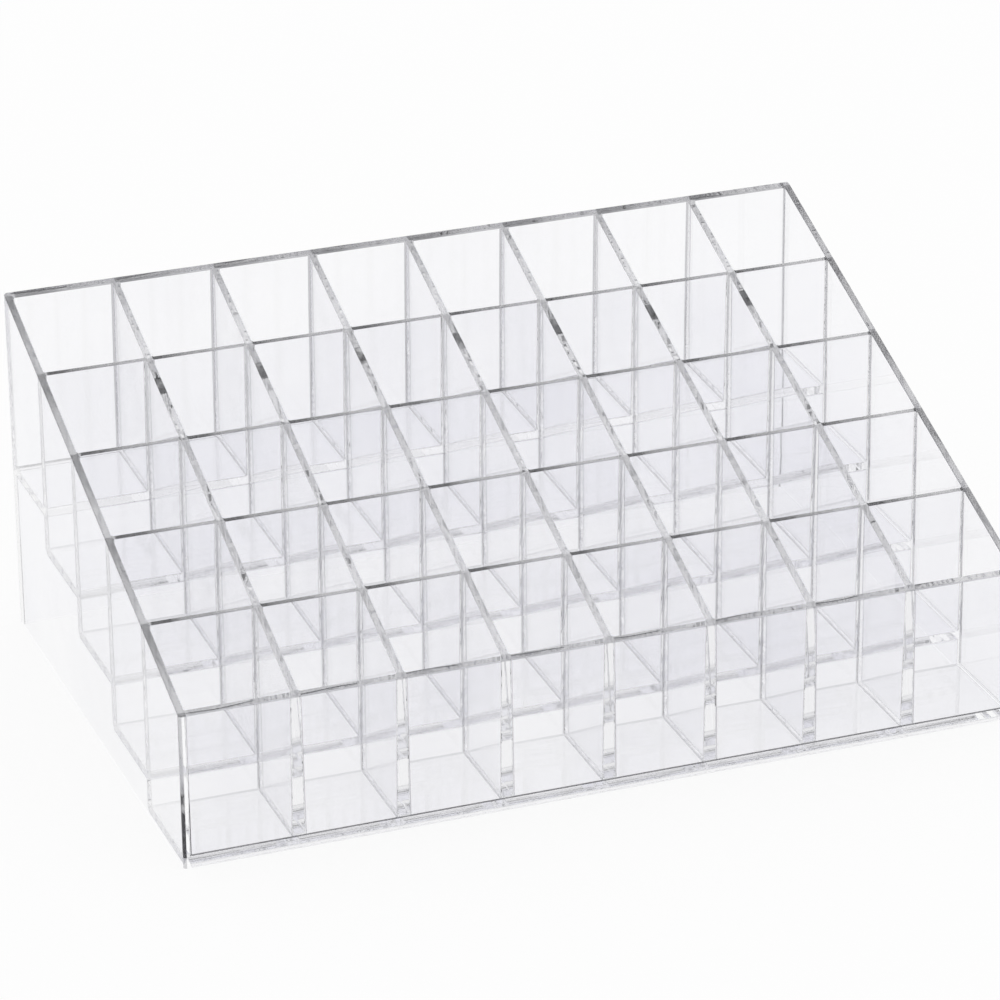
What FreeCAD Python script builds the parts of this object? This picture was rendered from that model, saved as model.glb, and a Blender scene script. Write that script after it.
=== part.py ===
import FreeCAD, Part
import math
import os

# Clear lipstick organizer: eight columns by five rows of open cells under a rim that
# slopes down to the front, on a floor that climbs to the back in steps.
# Millimetres, +Z up, front towards -Y, origin at the middle of the base.
# It is bonded from flat pieces. Front-to-back dividers and cross panels are halved into
# each other, and everything that faces a cell takes its faces from the cell's own sides.
# Each inner edge, in the cells and in the stepped hollow below them, is filled by a bevel.

# Cells, measured clear at the rim
columns = 8
rows = 5
column_pitch = 28.3
row_pitch = 30.44
end_cell_width = 28.1
front_cell_depth = 28.9
back_cell_depth = 29.3
draft_angle = 0.7
inner_bevel = 0.45
hollow_bevel = 0.35

# Sheet thicknesses, those of the dividers at the rim
side_wall_thickness = 2.0
front_wall_thickness = 2.0
back_wall_thickness = 2.2
divider_thickness = 2.0
panel_thickness = 1.1
floor_thickness = 2.1

# Heights above the surface it stands on
front_height = 43.1
back_height = 98.9
base_recess = 0.6
floor_rises = (9.2, 13.1, 11.4, 11.2)

# Edges and joints
outer_corner_radius = 0.8
rim_bevel = 0.3
panel_foot_radius = 1.2
neck_shoulder = 0.05

# Two points this near are the same point
tolerance = 0.001

Vector = FreeCAD.Vector
draft = math.tan(math.radians(draft_angle))

inner_half_width = (columns / 2 - 1) * column_pitch + divider_thickness / 2 + end_cell_width
outer_half_width = inner_half_width + side_wall_thickness
panel_span = (rows - 2) * row_pitch + panel_thickness
inner_depth = front_cell_depth + panel_span + back_cell_depth
outer_depth = front_wall_thickness + inner_depth + back_wall_thickness
front_face = -outer_depth / 2
inner_front = front_face + front_wall_thickness
inner_back = inner_front + inner_depth
back_face = inner_back + back_wall_thickness


def divider_centre(number):
    return (number - columns / 2) * column_pitch


def panel_centre(number):
    return inner_front + front_cell_depth + panel_thickness / 2 + (number - 1) * row_pitch


def rim_height(y):
    return front_height + (back_height - front_height) * (y - front_face) / outer_depth


def floor_bottom(row):
    return base_recess + sum(floor_rises[:row - 1])


def floor_top(row):
    return floor_bottom(row) + floor_thickness


def cell_sides(column, row, height):
    """Left, right, front and back of a cell at a height. Dividers thicken downwards."""
    left = divider_centre(column - 1) + divider_thickness / 2
    right = divider_centre(column) - divider_thickness / 2
    front = panel_centre(row - 1) + panel_thickness / 2
    back = panel_centre(row) - panel_thickness / 2
    if row == 1:
        front = inner_front
    if row == rows:
        back = inner_back
    taper = draft * (rim_height((front + back) / 2) - height)
    left = -inner_half_width if column == 1 else left + taper
    right = inner_half_width if column == columns else right - taper
    front = front if row == 1 else front + taper
    back = back if row == rows else back - taper
    return left, right, front, back


def flat_sided(lower, upper):
    """Flat-sided solid between two outlines of as many corners, anticlockwise from above."""
    sides = [[lower[i - 1], lower[i], upper[i], upper[i - 1]] for i in range(len(lower))]
    faces = [Part.Face(Part.makePolygon(corners + corners[:1])) for corners in [lower[::-1], upper] + sides]
    return Part.makeSolid(Part.makeShell(faces))


def tapered_block(low, high, sides):
    """Solid between two heights, with flat sides that sides(height) places."""
    ends = []
    for height in (low, high):
        left, right, front, back = sides(height)
        corners = [(left, front), (right, front), (right, back), (left, back)]
        ends.append([Vector(x, y, height) for x, y in corners])
    return flat_sided(*ends)


def box(left, right, front, back, low, high):
    return Part.makeBox(right - left, back - front, high - low, Vector(left, front, low))


def extruded(outline, half_width):
    """Solid across the object from its side outline, given as y and z."""
    points = [Vector(-half_width, y, z) for y, z in outline + outline[:1]]
    return Part.Face(Part.makePolygon(points)).extrude(Vector(2 * half_width, 0, 0))


def outer_form():
    """The whole object's outside, with its sloping rim, round uprights and bevelled rim edges."""
    form = extruded([(front_face, 0), (back_face, 0), (back_face, back_height), (front_face, front_height)],
                    outer_half_width)
    uprights = [edge for edge in form.Edges
                if edge.BoundBox.XLength < tolerance and edge.BoundBox.YLength < tolerance]
    form = form.makeFillet(outer_corner_radius, uprights)
    rim = [edge for edge in form.Edges
           if all(abs(end.Z - rim_height(end.Y)) < tolerance for end in edge.Vertexes)]
    return form.makeChamfer(rim_bevel, rim)


def mouth_outline(column, row, step):
    """Corners of a cell's mouth on a plane a step above the rim, spread from the bevel's foot up."""
    spread = step + rim_bevel
    leg = inner_bevel + (2 - math.sqrt(2)) * spread
    middle = rim_height(panel_centre(row) - row_pitch / 2)
    left, right, front, back = cell_sides(column, row, middle)
    left, right = left - spread, right + spread
    front = cell_sides(column, row, rim_height(front) + step)[2] - spread
    back = cell_sides(column, row, rim_height(back) + step)[3] + spread
    corners = [
        (left + leg, front), (right - leg, front), (right, front + leg), (right, back - leg),
        (right - leg, back), (left + leg, back), (left, back - leg), (left, front + leg),
    ]
    return [Vector(x, y, rim_height(y) + step) for x, y in corners]


def mouth(column, row):
    """Cuts the bevelled edge round a cell at the rim."""
    return flat_sided(*[mouth_outline(column, row, step) for step in (-2 * rim_bevel, rim_bevel)])


outside = outer_form()
mouths = [mouth(column, row) for column in range(1, columns + 1) for row in range(1, rows + 1)]


def to_rim(shape):
    """Trims a shape to the object's outside and bevels its edges at the rim."""
    trimmed = shape.common(outside)
    near = [cutter for cutter in mouths if cutter.BoundBox.intersect(trimmed.BoundBox)]
    return trimmed.cut(near) if near else trimmed


def past_rim(row):
    """A height past the rim everywhere in a row."""
    return rim_height(panel_centre(row) + divider_thickness)


def cell_bevels(column, row):
    """Material in a cell's inner edges, as a ring on the floor and two corner strips a side."""
    space = tapered_block(floor_top(row), past_rim(row), lambda z: cell_sides(column, row, z))
    inner = [edge for edge in space.Edges if edge.BoundBox.ZMin < past_rim(row) - inner_bevel]
    bevels = space.cut(space.makeChamfer(inner_bevel, inner))
    bounds = bevels.BoundBox
    ring_top = floor_top(row) + inner_bevel
    ring = bevels.common(box(bounds.XMin, bounds.XMax, bounds.YMin, bounds.YMax, bounds.ZMin, ring_top))
    strips = bevels.common(box(bounds.XMin, bounds.XMax, bounds.YMin, bounds.YMax, ring_top, bounds.ZMax))
    middle = (bounds.XMin + bounds.XMax) / 2
    left = [strip for strip in strips.Solids if strip.CenterOfMass.x < middle]
    right = [strip for strip in strips.Solids if strip.CenterOfMass.x > middle]
    return ring, left, right


def edges_at(shape, places):
    """Edges along X whose y and z are one of the places."""
    return [edge for edge in shape.Edges if any(
        math.dist((edge.CenterOfMass.y, edge.CenterOfMass.z), place) < tolerance for place in places)]


def hollow_bevels():
    """Material in the hollow's inner edges, as bars under the floors and a strip on each side wall."""
    outline = [(inner_front, 0), (inner_front, floor_bottom(1))]
    for row in range(2, rows + 1):
        riser = [floor_bottom(row - 1), floor_bottom(row)]
        outline += [(cell_sides(1, row, height)[2], height) for height in riser]
    outline += [(inner_back, floor_bottom(rows)), (inner_back, 0)]
    feet, corners = outline[2:-2:2], outline[1:-2:2] + outline[-2:-1]
    space = extruded(outline, inner_half_width)
    space = space.makeFillet(panel_foot_radius, edges_at(space, feet))
    ends = [edge for edge in space.Edges
            if edge.BoundBox.XLength < tolerance and edge.BoundBox.ZMax > tolerance]
    bevels = space.cut(space.makeChamfer(hollow_bevel, ends + edges_at(space, corners)))
    reach = inner_half_width - hollow_bevel
    middle = box(-reach, reach, inner_front, inner_back, 0, back_height)
    strips = sorted(bevels.cut(middle).Solids, key=lambda strip: strip.CenterOfMass.x)
    return bevels.common(middle).Solids, strips


def joined(pieces):
    whole = pieces[0].fuse(pieces[1:]) if len(pieces) > 1 else pieces[0]
    return whole.removeSplitter()


def divider_length(number, row):
    """One row's length of a front-to-back divider, standing on that row's floor."""
    def sides(height):
        _, left, _, _ = cell_sides(number, row, height)
        right, _, front, back = cell_sides(number + 1, row, height)
        return left, right, front, back
    return tapered_block(floor_top(row), past_rim(row), sides)


def panel_block(number, low, high):
    """Cross panel between the cells in front of it and behind it."""
    def sides(height):
        front = cell_sides(1, number, height)[3]
        back = cell_sides(1, number + 1, height)[2]
        return -inner_half_width, inner_half_width, front, back
    return tapered_block(low, high, sides)


def halving_height(number):
    """Where divider and cross panel meet in a halving joint: half way up what they share."""
    return (floor_top(number + 1) + rim_height(panel_centre(number))) / 2


def neck(divider, number):
    """The divider's upper half, where it passes through a cross panel's slot."""
    centre = divider_centre(divider)
    panel = panel_block(number, halving_height(number), past_rim(number + 1))
    bounds = panel.BoundBox
    half = divider_thickness / 2 - neck_shoulder
    return panel.common(box(centre - half, centre + half, bounds.YMin, bounds.YMax, bounds.ZMin, bounds.ZMax))


def long_divider(number, strips):
    lengths = [divider_length(number, row) for row in range(1, rows + 1)]
    necks = [neck(number, panel) for panel in range(1, rows)]
    return to_rim(joined(lengths + necks + strips))


def cross_panel(number):
    panel = panel_block(number, floor_bottom(number), past_rim(number + 1))
    foot = [edge for edge in panel.Edges
            if edge.BoundBox.ZMax < floor_top(number) and edge.CenterOfMass.y > panel_centre(number)
            and edge.Length > column_pitch]
    panel = panel.makeFillet(panel_foot_radius, foot)
    slots = [neck(divider, number) for divider in range(1, columns)]
    return to_rim(panel.cut(slots))


def row_floor(row, edges):
    def sides(height):
        _, _, front, back = cell_sides(1, row, height)
        return -inner_half_width, inner_half_width, front, back
    return joined([tapered_block(floor_bottom(row), floor_top(row), sides)] + edges)


def end_wall(front, back):
    """Front or back wall, standing between the side walls."""
    return to_rim(box(-inner_half_width, inner_half_width, front, back, 0, back_height))


def side_wall(side, strips):
    inner, outer = sorted((side * inner_half_width, side * outer_half_width))
    return to_rim(joined([box(inner, outer, front_face, back_face, 0, back_height)] + strips))


def matched(pieces):
    """Splits each face along the outline of what is bonded to it, so a joint's two sides match."""
    shapes = list(pieces.values())
    solids = shapes[0].generalFuse(shapes[1:])[0].Solids
    return {name: min(solids, key=lambda solid: solid.CenterOfGravity.distanceToPoint(shape.CenterOfGravity))
            for name, shape in pieces.items()}


def build():
    bars, (left_strip, right_strip) = hollow_bevels()
    strips = {number: [] for number in range(columns + 1)}
    pieces = {
        "front_wall": end_wall(front_face, inner_front),
        "back_wall": end_wall(inner_back, back_face),
    }
    for row in range(1, rows + 1):
        rings = []
        for column in range(1, columns + 1):
            ring, left, right = cell_bevels(column, row)
            rings.append(ring)
            strips[column - 1] += left
            strips[column] += right
        under = [bar for bar in bars if abs(bar.BoundBox.ZMax - floor_bottom(row)) < tolerance]
        pieces[f"floor_row_{row}"] = row_floor(row, rings + under)
    pieces["left_wall"] = side_wall(-1, strips[0] + [left_strip])
    pieces["right_wall"] = side_wall(1, strips[columns] + [right_strip])
    for number in range(1, rows):
        pieces[f"cross_panel_{number}"] = cross_panel(number)
    for number in range(1, columns):
        pieces[f"long_divider_{number}"] = long_divider(number, strips[number])
    return matched(pieces)


os.makedirs("parts", exist_ok=True)
for name, shape in build().items():
    print(name, shape.isValid(), len(shape.Solids), round(shape.Volume / 1000, 2))
    shape.exportStep(f"parts/{name}.step")
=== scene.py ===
import math

import bmesh
import bpy
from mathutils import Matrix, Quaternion, Vector
from mathutils.bvhtree import BVHTree


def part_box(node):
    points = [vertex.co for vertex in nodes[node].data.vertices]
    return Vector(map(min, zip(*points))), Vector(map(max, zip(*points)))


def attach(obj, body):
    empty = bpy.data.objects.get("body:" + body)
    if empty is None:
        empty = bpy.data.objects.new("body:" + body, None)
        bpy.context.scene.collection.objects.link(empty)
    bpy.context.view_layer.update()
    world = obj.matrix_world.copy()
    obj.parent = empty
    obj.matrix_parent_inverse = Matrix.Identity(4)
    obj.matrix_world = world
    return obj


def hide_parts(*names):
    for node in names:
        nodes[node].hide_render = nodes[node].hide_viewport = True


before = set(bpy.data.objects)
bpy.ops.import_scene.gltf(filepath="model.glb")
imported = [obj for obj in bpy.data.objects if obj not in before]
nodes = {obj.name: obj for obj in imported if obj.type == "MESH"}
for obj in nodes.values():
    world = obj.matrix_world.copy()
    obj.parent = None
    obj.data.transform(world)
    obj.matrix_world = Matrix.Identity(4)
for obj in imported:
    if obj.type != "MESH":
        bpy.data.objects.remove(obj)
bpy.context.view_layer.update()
print("stage: frame loaded,", len(nodes), "nodes")

millimetre = 0.001

# Where the photograph was taken from, solved from the crossings of the rim
cameraView = {
    "azimuth": -20.308,
    "elevation": 24.363,
    "roll": -0.491,
    "distance": 1.3199,
    "target": (-0.00145, 0.0, 0.05076),
    "lens": 176.495,
    "sensor": 36,
    "clip": (0.1, 20),
}


def makeCamera(view):
    a, e = math.radians(view["azimuth"]), math.radians(view["elevation"])
    back = Vector((math.sin(a) * math.cos(e), -math.cos(a) * math.cos(e), math.sin(e)))
    data = bpy.data.cameras.new("photoCamera")
    data.lens = view["lens"]
    data.sensor_width = view["sensor"]
    data.clip_start, data.clip_end = view["clip"]
    camera = bpy.data.objects.new("photoCamera", data)
    bpy.context.scene.collection.objects.link(camera)
    camera.location = Vector(view["target"]) + back * view["distance"]
    turn = (-back).to_track_quat("-Z", "Y") @ Quaternion((0, 0, 1), math.radians(view["roll"]))
    camera.rotation_euler = turn.to_euler()
    bpy.context.scene.camera = camera


makeCamera(cameraView)
print("stage: camera")

mixSockets = {"first": 6, "second": 7, "result": 2}  # the colour sockets of a Mix node


def newMaterial(name):
    material = bpy.data.materials.new(name)
    material.use_nodes = True
    tree = material.node_tree
    tree.nodes.clear()
    return material, tree.nodes, tree.links


def newGroup(name, inputs, outputs):
    group = bpy.data.node_groups.new(name, "ShaderNodeTree")
    for socket, kind in inputs.items():
        group.interface.new_socket(socket, in_out="INPUT", socket_type="NodeSocket" + kind)
    for socket, kind in outputs.items():
        group.interface.new_socket(socket, in_out="OUTPUT", socket_type="NodeSocket" + kind)
    made = group.nodes
    return group, made, group.links, made.new("NodeGroupInput"), made.new("NodeGroupOutput")


def feed(links, socket, value):
    if isinstance(value, bpy.types.NodeSocket):
        links.new(value, socket)
    else:
        socket.default_value = value


def rangeNode(made, links, value, span, into):
    node = made.new("ShaderNodeMapRange")
    for socket, given in zip(("Value", "From Min", "From Max", "To Min", "To Max"), (value, *span, *into)):
        feed(links, node.inputs[socket], given)
    return node.outputs["Result"]


def mathNode(made, links, operation, *values):
    node = made.new("ShaderNodeMath")
    node.operation = operation
    for place, value in enumerate(values):
        feed(links, node.inputs[place], value)
    return node.outputs["Value"]


def mixColour(made, links, factor, first, second):
    node = made.new("ShaderNodeMix")
    node.data_type = "RGBA"
    feed(links, node.inputs["Factor"], factor)
    feed(links, node.inputs[mixSockets["first"]], first)
    feed(links, node.inputs[mixSockets["second"]], second)
    return node.outputs[mixSockets["result"]]


def noiseNode(made, links, place, scale, detail):
    node = made.new("ShaderNodeTexNoise")
    node.inputs["Scale"].default_value = scale
    node.inputs["Detail"].default_value = detail
    links.new(place, node.inputs["Vector"])
    return node.outputs["Fac"]


# Clear moulded plastic: polished, faintly clouded, with a weak tint through its depth
plastic = {
    "ior": 1.53,
    "depthColour": (0.80, 0.80, 0.812, 1),
    "depthDensity": 0.9,
    "shadowTint": (0.9, 0.9, 0.905, 1),
    "clear": (0.978, 0.978, 0.987, 1),
    "cloud": (0.95, 0.95, 0.966, 1),
    "cloudScale": 22.0,
    "cloudDetail": 3,
    "cloudSpan": (0.35, 0.65),
    "waveScale": 45.0,
    "waveDetail": 1,
    "waveHeight": 0.05 * millimetre,
    "dustScale": 420.0,
    "dustSize": 0.055,
    "dustRoughness": 0.35,
}


def mouldedSurface():
    # Faint clouding, slow waves left by the mould, and a few specks of dust
    group, made, links, given, out = newGroup(
        "mouldedSurface",
        {"Clear": "Color", "Cloud": "Color"},
        {"Colour": "Color", "Roughness": "Float", "Normal": "Vector"})
    place = made.new("ShaderNodeTexCoord").outputs["Object"]
    clouds = noiseNode(made, links, place, plastic["cloudScale"], plastic["cloudDetail"])
    cloudy = rangeNode(made, links, clouds, plastic["cloudSpan"], (0, 1))
    colour = mixColour(made, links, cloudy, given.outputs["Clear"], given.outputs["Cloud"])
    links.new(colour, out.inputs["Colour"])
    dust = made.new("ShaderNodeTexVoronoi")
    dust.inputs["Scale"].default_value = plastic["dustScale"]
    links.new(place, dust.inputs["Vector"])
    distance = dust.outputs["Distance"]
    specks = rangeNode(made, links, distance, (plastic["dustSize"], 0), (0.0, plastic["dustRoughness"]))
    links.new(specks, out.inputs["Roughness"])
    bump = made.new("ShaderNodeBump")
    bump.inputs["Strength"].default_value = 1
    bump.inputs["Distance"].default_value = plastic["waveHeight"]
    waves = noiseNode(made, links, place, plastic["waveScale"], plastic["waveDetail"])
    links.new(waves, bump.inputs["Height"])
    links.new(bump.outputs["Normal"], out.inputs["Normal"])
    return group


# How ragged the painted change of shade along a rim is, and its one painted dark mark
ragged = {
    "noiseScale": 130,
    "noiseDetail": 2,
    "span": (0.3, 0.7),
    "reach": (-0.12, 0.12),
    "markSpan": (0.38, 0.5),
    "markStrength": (0.35, 1),
    "markColour": (0.03, 0.03, 0.033, 1),
}


def crossingShade():
    # Painted shade: a rim is painted darkest just past each crossing, and clears towards the next
    group, made, links, given, out = newGroup(
        "crossingShade",
        {"Along": "Vector", "Start": "Float", "Pitch": "Float", "Begins": "Float", "Ends": "Float",
         "Dark": "Color", "Light": "Color", "Mark": "Float", "MarkSize": "Float"},
        {"Colour": "Color"})
    place = made.new("ShaderNodeTexCoord").outputs["Object"]
    along = made.new("ShaderNodeVectorMath")
    along.operation = "DOT_PRODUCT"
    links.new(place, along.inputs[0])
    links.new(given.outputs["Along"], along.inputs[1])
    past = mathNode(made, links, "SUBTRACT", along.outputs["Value"], given.outputs["Start"])
    cells = mathNode(made, links, "DIVIDE", past, given.outputs["Pitch"])
    noise = noiseNode(made, links, place, ragged["noiseScale"], ragged["noiseDetail"])
    wander = rangeNode(made, links, noise, ragged["span"], ragged["reach"])
    share = mathNode(made, links, "ADD", mathNode(made, links, "FRACT", cells), wander)
    fade = rangeNode(made, links, share, (given.outputs["Begins"], given.outputs["Ends"]), (0, 1))
    shade = mixColour(made, links, fade, given.outputs["Dark"], given.outputs["Light"])
    # The one dark mark of painted shade, at the given place counted in cells
    within = mathNode(made, links, "COMPARE", cells, given.outputs["Mark"], given.outputs["MarkSize"])
    strength = rangeNode(made, links, noise, ragged["markSpan"], ragged["markStrength"])
    mark = mathNode(made, links, "MULTIPLY", within, strength)
    links.new(mixColour(made, links, mark, shade, ragged["markColour"]), out.inputs["Colour"])
    return group


surfaceGroup, crossingGroup = mouldedSurface(), crossingShade()


def addDepth(made, links, output):
    depth = made.new("ShaderNodeVolumeAbsorption")
    depth.inputs["Color"].default_value = plastic["depthColour"]
    depth.inputs["Density"].default_value = plastic["depthDensity"]
    links.new(depth.outputs["Volume"], output.inputs["Volume"])


def clearPlastic(name, clear, cloud, crossing=None):
    material, made, links = newMaterial(name)
    surface = made.new("ShaderNodeGroup")
    surface.node_tree = surfaceGroup
    surface.inputs["Clear"].default_value = clear
    surface.inputs["Cloud"].default_value = cloud
    shader = made.new("ShaderNodeBsdfPrincipled")
    shader.inputs["IOR"].default_value = plastic["ior"]
    shader.inputs["Transmission Weight"].default_value = 1
    colour = surface.outputs["Colour"]
    # Where given, a painted shade along the piece takes over the Base Color
    if crossing:
        shade = made.new("ShaderNodeGroup")
        shade.node_tree = crossingGroup
        for socket, value in crossing.items():
            shade.inputs[socket].default_value = value
        colour = shade.outputs["Colour"]
    links.new(colour, shader.inputs["Base Color"])
    links.new(surface.outputs["Roughness"], shader.inputs["Roughness"])
    links.new(surface.outputs["Normal"], shader.inputs["Normal"])
    lamp = made.new("ShaderNodeBsdfTransparent")  # lets light through to the floor
    lamp.inputs["Color"].default_value = plastic["shadowTint"]
    path = made.new("ShaderNodeLightPath")
    mix = made.new("ShaderNodeMixShader")
    output = made.new("ShaderNodeOutputMaterial")
    links.new(path.outputs["Is Shadow Ray"], mix.inputs["Fac"])
    links.new(shader.outputs["BSDF"], mix.inputs[1])
    links.new(lamp.outputs["BSDF"], mix.inputs[2])
    links.new(mix.outputs["Shader"], output.inputs["Surface"])
    addDepth(made, links, output)
    return material


def bondedSeam(name, tint):
    material, made, links = newMaterial(name)
    seam = made.new("ShaderNodeBsdfTransparent")
    seam.inputs["Color"].default_value = tint
    output = made.new("ShaderNodeOutputMaterial")
    links.new(seam.outputs["BSDF"], output.inputs["Surface"])
    addDepth(made, links, output)
    return material


# Each material, the clear plastic, the seam and each painted shade, has its place in a piece's list of
# materials
wallSlot, seamSlot, edgeSlot, rimSlot, cornerSlot, lipSlot, uprightSlot, lineSlot, rearSlot = range(9)

# Painted shade on the rims, by the kind of piece they top, with one painted dark mark on the dividers. A
# mark's place is counted in cells from the first crossing
rims = {
    "depth": 0.45 * millimetre,
    "fade": {"Begins": 0.15, "Ends": 0.8},
    "dividerMark": {"Mark": -2.65, "MarkSize": 0.1},
    "cross": {"Dark": (0.02, 0.02, 0.022, 1), "Light": (0.32, 0.32, 0.33, 1)},
    "divider": {"Dark": (0.42, 0.42, 0.44, 1), "Light": (0.85, 0.85, 0.88, 1)},
    "front": {"Dark": (0.36, 0.36, 0.38, 1), "Light": (0.52, 0.52, 0.545, 1)},
    "back": {"Dark": (0.10, 0.10, 0.108, 1), "Light": (0.36, 0.36, 0.38, 1)},
    "side": {"Dark": (0.09, 0.09, 0.097, 1), "Light": (0.34, 0.34, 0.36, 1)},
}
rimKinds = {"cross": "cross", "long": "divider", "front": "front", "back": "back"}
madeRims = {}


def crossings(first, second, axis):
    # The middle of the first piece, and how far on the second one stands
    low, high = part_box(first)
    return (low[axis] + high[axis]) / 2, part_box(second)[0][axis] - low[axis]


# One material of painted rim shade for each kind of rim
def rimSurface(name):
    kind = rimKinds.get(name.split("_")[0], "side")
    if kind not in madeRims:
        values = dict(rims[kind], **rims["fade"])
        if kind in ("divider", "side"):
            start, pitch = crossings("cross_panel_1", "cross_panel_2", 1)
            values.update(Along=Vector((0, -1, 0)), Start=-start, Pitch=pitch)
        else:
            start, pitch = crossings("long_divider_1", "long_divider_2", 0)
            values.update(Along=Vector((1, 0, 0)), Start=start, Pitch=pitch)
        if kind == "divider":
            values.update(rims["dividerMark"])
        madeRims[kind] = clearPlastic(kind + "Rim", plastic["clear"], plastic["cloud"], values)
    return madeRims[kind]


# Painted shade on the outer upright corners, darkest at the foot, within a strip of the given width at the
# front and back
corners = {
    "width": 3 * millimetre,
    "front": {"Along": Vector((0, 0, 1)), "Start": 0.003, "Pitch": 0.1, "Begins": 0.14, "Ends": 0.24,
              "Dark": (0.004, 0.004, 0.005, 1), "Light": (0.45, 0.45, 0.47, 1)},
    "rear": {"Along": Vector((0, 0, 1)), "Start": 0.0, "Pitch": 0.11, "Begins": 0.15, "Ends": 0.45,
             "Dark": (0.03, 0.03, 0.032, 1), "Light": (0.5, 0.5, 0.52, 1)},
}
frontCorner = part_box("front_wall")[0][1] + corners["width"]
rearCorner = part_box("back_wall")[1][1] - corners["width"]

# Painted shade on the bevels: the plain ones, the upright ones in the corners, and, darkest, the lips of
# the first and last floors
bevels = {"clear": (0.84, 0.84, 0.855, 1), "cloud": (0.74, 0.74, 0.76, 1)}
uprights = {"clear": (0.50, 0.50, 0.52, 1), "cloud": (0.36, 0.36, 0.375, 1)}
lips = {"clear": (0.04, 0.04, 0.045, 1), "cloud": (0.2, 0.2, 0.21, 1)}

# Bonded seams don't show, but one line of painted shade is put where the front floor's lip meets the front
# wall
seams = {
    "tint": (1, 1, 1, 1),
    "lineTint": (0.3, 0.3, 0.31, 1),
    "lineWall": "front_wall",
    "lineHeight": 0.45 * millimetre,
    "touching": 0.02 * millimetre,
    "facing": -0.99,
    "parting": 0.002 * millimetre,
}
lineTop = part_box("floor_row_1")[1][2]
lineFoot = lineTop - seams["lineHeight"]

surfaces = [
    clearPlastic("clearPlastic", plastic["clear"], plastic["cloud"]),
    bondedSeam("bondedSeam", seams["tint"]),
    clearPlastic("bevelPlastic", bevels["clear"], bevels["cloud"]),
    clearPlastic("cornerPlastic", plastic["clear"], plastic["cloud"], corners["front"]),
    clearPlastic("lipPlastic", lips["clear"], lips["cloud"]),
    clearPlastic("uprightPlastic", uprights["clear"], uprights["cloud"]),
    # The seam line's tint is painted shade
    bondedSeam("seamLine", seams["lineTint"]),
    clearPlastic("rearCornerPlastic", plastic["clear"], plastic["cloud"], corners["rear"]),
]
print("stage: materials")

# How a copied mesh is cleaned, and how its faces are told apart by the way they face
copies = {"merge": 0.001 * millimetre, "flat": math.radians(0.05)}
turns = {
    "square": math.cos(math.radians(2.5)),
    "borrow": 0.3,  # how near a flat face must be for a bevel to take its normal
    "blend": math.cos(math.radians(30)),
    "slope": (0.8, 0.99),  # the range of the rim's own slope
    "upright": 0.1,
    "lip": 0.3,
}

axes = [Vector((1, 0, 0)), Vector((0, 1, 0)), Vector((0, 0, 1))]
least, most = turns["slope"]
sloping = [face for face in nodes["left_wall"].data.polygons
           if least < face.normal.z < most and face.normal.y < 0]
rim = max(sloping, key=lambda face: face.area).normal.copy()
rimLevel = max(vert.co.dot(rim) for node in nodes.values() for vert in node.data.vertices)
directions = axes + [rim]


def treeOf(names):
    everything = bmesh.new()
    for name in names:
        everything.from_mesh(nodes[name].data)
    tree = BVHTree.FromBMesh(everything)
    everything.free()
    return tree


def squareTo(normal, lines):
    return any(abs(normal.dot(line)) > turns["square"] for line in lines)


def sortSeams(shape, name, tree):
    # A face that lies against a neighbour's is a bonded seam
    bonded = 0
    for face in shape.faces:
        face.normal_update()
        centre = face.calc_center_median()
        reach = face.normal * seams["touching"]
        met, normal, _, _ = tree.ray_cast(centre - reach, reach, 2 * seams["touching"])
        face.material_index = seamSlot if met and normal.dot(face.normal) < seams["facing"] else wallSlot
        bonded += face.material_index == seamSlot
        # Seam faces of the front wall at the lip's height take the painted shade line
        heights = [vert.co.z for vert in face.verts]
        inLine = lineFoot - seams["touching"] < min(heights) and max(heights) < lineTop + seams["touching"]
        if name == seams["lineWall"] and face.material_index == seamSlot and inLine:
            face.material_index = lineSlot
    return bonded


def bevelShadeSlot(name, face):
    # Which painted shade a bevel takes, from where it lies on the piece
    y = face.calc_center_median().y
    normal = face.normal
    upright = abs(normal.z) < turns["upright"]
    if min(vert.co.dot(rim) for vert in face.verts) > rimLevel - rims["depth"]:
        return rimSlot
    if upright and name.endswith("wall") and y < frontCorner:
        return cornerSlot
    if upright and name.endswith("wall") and y > rearCorner:
        return rearSlot
    if name == "floor_row_1" and min(normal.y, normal.z) > turns["lip"] and y < frontCorner:
        return lipSlot
    if name == "floor_row_5" and normal.y < -turns["lip"] and abs(normal.z) > turns["lip"]:
        return lipSlot
    return uprightSlot if upright else edgeSlot


def softNormals(shape):
    # Flat walls keep their own normal, and a bevel takes theirs at its borders, so it shades round
    normals = []
    shape.normal_update()
    for face in shape.faces:
        own = face.normal
        square = squareTo(own, directions)
        for loop in face.loops:
            if square:
                normals.append(own.copy())
                continue
            best, bestTurn, around = None, turns["borrow"], own.copy()
            for other in loop.vert.link_faces:
                normal = -other.normal if other.material_index in (seamSlot, lineSlot) else other.normal
                turn = normal.dot(own)
                if squareTo(normal, directions) and turn > bestTurn:
                    best, bestTurn = normal, turn
                if turn > turns["blend"] and other != face:
                    around += normal
            normals.append(best.copy() if best else around.normalized())
    return normals


def partSeams(shape):
    # A hair's gap, so that the two faces of a seam don't coincide
    for vert in shape.verts:
        push = Vector()
        for face in vert.link_faces:
            if face.material_index in (seamSlot, lineSlot):
                push -= face.normal
        vert.co += push.normalized() * seams["parting"]


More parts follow.
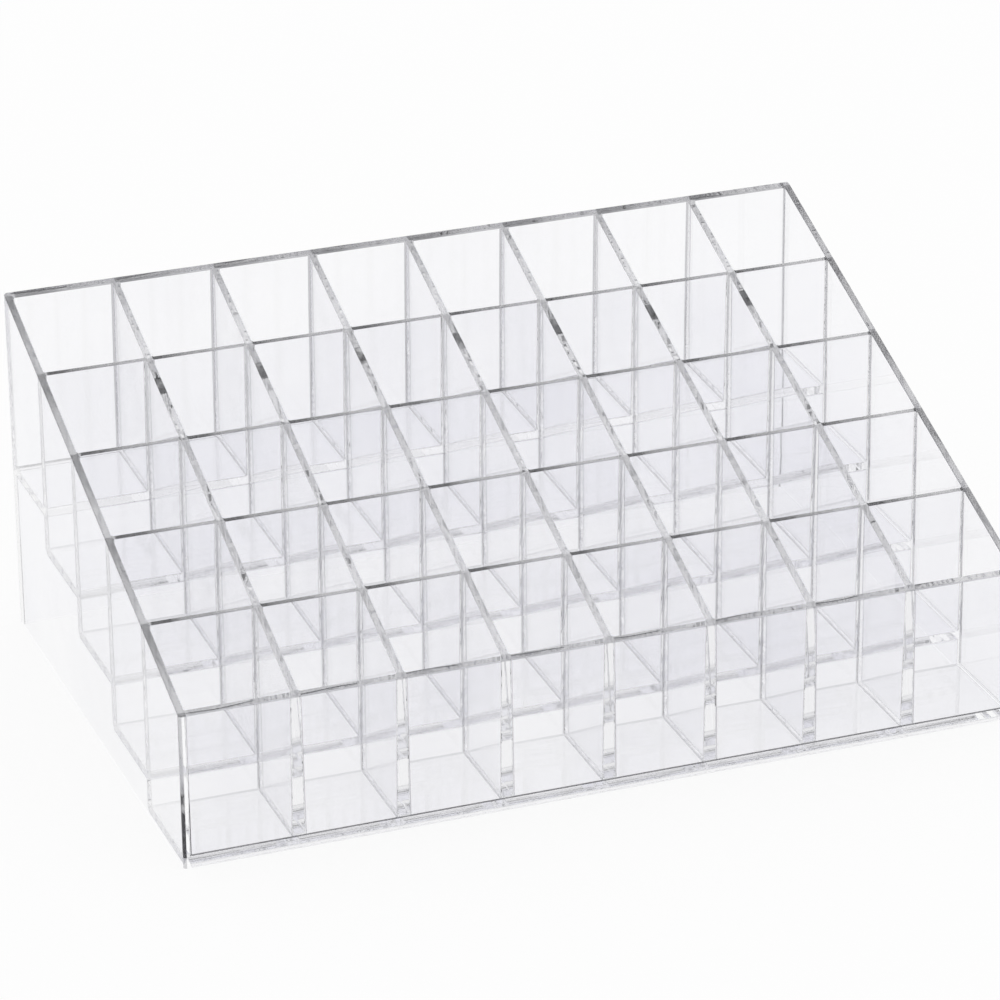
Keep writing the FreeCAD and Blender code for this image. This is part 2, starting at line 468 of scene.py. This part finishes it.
def clearPiece(name):
    shape = bmesh.new()
    shape.from_mesh(nodes[name].data)
    bmesh.ops.remove_doubles(shape, verts=shape.verts, dist=copies["merge"])
    # Cut the front wall at the foot of the painted shade line
    if name == seams["lineWall"]:
        everything = shape.verts[:] + shape.edges[:] + shape.faces[:]
        bmesh.ops.bisect_plane(shape, geom=everything, dist=copies["merge"],
                               plane_co=(0, 0, lineFoot), plane_no=(0, 0, 1))
    bonded = sortSeams(shape, name, treeOf([other for other in nodes if other != name]))
    bmesh.ops.dissolve_limit(shape, angle_limit=copies["flat"], verts=shape.verts, edges=shape.edges,
                             use_dissolve_boundaries=False, delimit={"MATERIAL"})
    for edge in shape.edges:
        edge.smooth = False
    for face in shape.faces:
        face.smooth = True
        # A bevel takes the slot of its painted shade
        if face.material_index == wallSlot and not squareTo(face.normal, axes):
            face.material_index = bevelShadeSlot(name, face)
    normals = softNormals(shape)
    partSeams(shape)
    title = "clear" + "".join(word.capitalize() for word in name.split("_"))
    piece = bpy.data.objects.new(title, bpy.data.meshes.new(name + "Clear"))
    shape.to_mesh(piece.data)
    shape.free()
    piece.data.normals_split_custom_set(normals)
    bpy.context.scene.collection.objects.link(piece)
    # The clear plastic, the seams, the painted shades, and this piece's painted rim shade
    pieceMaterials = list(surfaces)
    pieceMaterials.insert(rimSlot, rimSurface(name))
    for pieceMaterial in pieceMaterials:
        piece.data.materials.append(pieceMaterial)
    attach(piece, "root")
    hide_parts(name)
    print("piece:", piece.name, len(piece.data.polygons), "faces,", bonded, "bonded")


for name in sorted(nodes):
    clearPiece(name)
print("stage: pieces")

# A white table, and a room that is a little darker overhead and in front
studio = {
    "floor": 6.0,
    "paper": (0.97, 0.97, 0.97, 1),
    "ownWhite": 0.9,
    "white": 1.0,
    "overhead": 0.88,
    "front": 0.88,
    "heights": (0.35, 0.8),
    "depths": (-0.9, 0.1),
}


def makeWorld():
    world = bpy.data.worlds.new("studio")
    bpy.context.scene.world = world
    world.use_nodes = True
    made, links = world.node_tree.nodes, world.node_tree.links
    made.clear()
    where = made.new("ShaderNodeTexCoord")
    split = made.new("ShaderNodeSeparateXYZ")
    links.new(where.outputs["Generated"], split.inputs["Vector"])
    white = studio["white"]
    overhead = rangeNode(made, links, split.outputs["Z"], studio["heights"], (white, studio["overhead"]))
    front = rangeNode(made, links, split.outputs["Y"], studio["depths"], (studio["front"], white))
    light = made.new("ShaderNodeBackground")
    links.new(mathNode(made, links, "MULTIPLY", overhead, front), light.inputs["Color"])
    light.inputs["Strength"].default_value = 1
    output = made.new("ShaderNodeOutputWorld")
    links.new(light.outputs["Background"], output.inputs["Surface"])


def makeFloor():
    shape = bmesh.new()
    bmesh.ops.create_grid(shape, x_segments=1, y_segments=1, size=studio["floor"])
    floor = bpy.data.objects.new("floor", bpy.data.meshes.new("floor"))
    shape.to_mesh(floor.data)
    shape.free()
    bpy.context.scene.collection.objects.link(floor)
    material, made, links = newMaterial("floorPaper")
    paper = made.new("ShaderNodeBsdfDiffuse")
    paper.inputs["Color"].default_value = studio["paper"]
    white = made.new("ShaderNodeEmission")
    mix = made.new("ShaderNodeMixShader")
    output = made.new("ShaderNodeOutputMaterial")
    rays = made.new("ShaderNodeLightPath").outputs
    seen = mathNode(made, links, "MAXIMUM", rays["Is Camera Ray"], rays["Is Glossy Ray"])
    seen = mathNode(made, links, "MAXIMUM", seen, rays["Is Transmission Ray"])
    links.new(mathNode(made, links, "MULTIPLY", seen, studio["ownWhite"]), mix.inputs["Fac"])
    links.new(paper.outputs["BSDF"], mix.inputs[1])
    links.new(white.outputs["Emission"], mix.inputs[2])
    links.new(mix.outputs["Shader"], output.inputs["Surface"])
    floor.data.materials.append(material)


makeWorld()
makeFloor()
print("stage: studio")

# Light crosses many thin walls here, so it gets many bounces
bounces = {"clear": 96, "diffuse": 3, "transparent": 200}
cycles = bpy.context.scene.cycles
cycles.max_bounces = bounces["clear"]
cycles.transmission_bounces = bounces["clear"]
cycles.glossy_bounces = bounces["clear"]
cycles.diffuse_bounces = bounces["diffuse"]
cycles.transparent_max_bounces = bounces["transparent"]
cycles.caustics_reflective = True
cycles.caustics_refractive = True
bpy.context.scene.view_settings.view_transform = "Standard"
